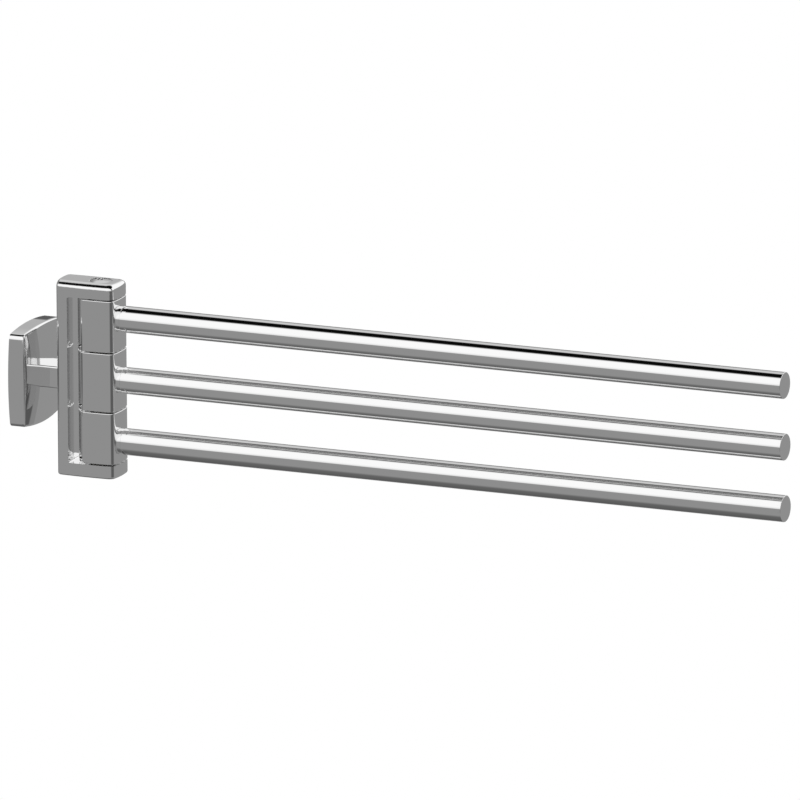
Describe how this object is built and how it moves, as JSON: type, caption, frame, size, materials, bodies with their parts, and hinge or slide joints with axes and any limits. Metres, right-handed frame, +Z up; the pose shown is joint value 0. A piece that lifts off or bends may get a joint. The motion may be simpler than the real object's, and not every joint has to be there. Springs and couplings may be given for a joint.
{
  "type": "swing arm towel bar",
  "caption": "Wall-mounted towel bar: a domed soft square rosette and neck carry a C-shaped yoke in which straight round arms swing sideways, one above the other.",
  "frame": {"origin": "centre of the rosette's back face, on the wall", "axes": "+X out of the wall and along the arms at rest, +Z up, +Y to the right seen from the room"},
  "size_m": [0.4934, 0.0576, 0.1199],
  "materials": {
    "chrome_cast": "polished chrome plating on cast zinc",
    "chrome_tube": "polished chrome plating on brass tube",
    "chrome_turned": "polished chrome plating on turned brass",
    "steel_plate": "zinc-plated sheet steel",
    "steel_hardware": "bright stainless steel",
    "nylon": "natural nylon"
  },
  "bodies": {
    "wall_bracket": {"wall_plate": "steel_plate", "rosette": "chrome_cast", "rosette_set_screw": "steel_hardware", "neck_bolt": "steel_hardware", "neck_lock_washer": "steel_hardware", "yoke": "chrome_cast", "pivot_bolt": "chrome_turned", "upper_thrust_washer": "steel_hardware", "lower_thrust_washer": "steel_hardware", "disc_spring": "steel_hardware"},
    "arm_top": {"knuckle_top": "chrome_cast", "upper_bush_top": "nylon", "lower_bush_top": "nylon", "collar_top": "chrome_turned", "tube_top": "chrome_tube", "end_cap_top": "chrome_turned"},
    "arm_middle": {"knuckle_middle": "chrome_cast", "upper_bush_middle": "nylon", "lower_bush_middle": "nylon", "collar_middle": "chrome_turned", "tube_middle": "chrome_tube", "end_cap_middle": "chrome_turned"},
    "arm_bottom": {"knuckle_bottom": "chrome_cast", "upper_bush_bottom": "nylon", "lower_bush_bottom": "nylon", "collar_bottom": "chrome_turned", "tube_bottom": "chrome_tube", "end_cap_bottom": "chrome_turned"}
  },
  "joints": [
    {"name": "top_arm_swing", "type": "hinge", "parent": "wall_bracket", "child": "arm_top", "pos_m": [0.0482, 0, 0], "axis": [0, 0, 1], "range_deg": [-90, 90]},
    {"name": "middle_arm_swing", "type": "hinge", "parent": "wall_bracket", "child": "arm_middle", "pos_m": [0.0482, 0, 0], "axis": [0, 0, 1], "range_deg": [-90, 90]},
    {"name": "bottom_arm_swing", "type": "hinge", "parent": "wall_bracket", "child": "arm_bottom", "pos_m": [0.0482, 0, 0], "axis": [0, 0, 1], "range_deg": [-90, 90]}
  ]
}
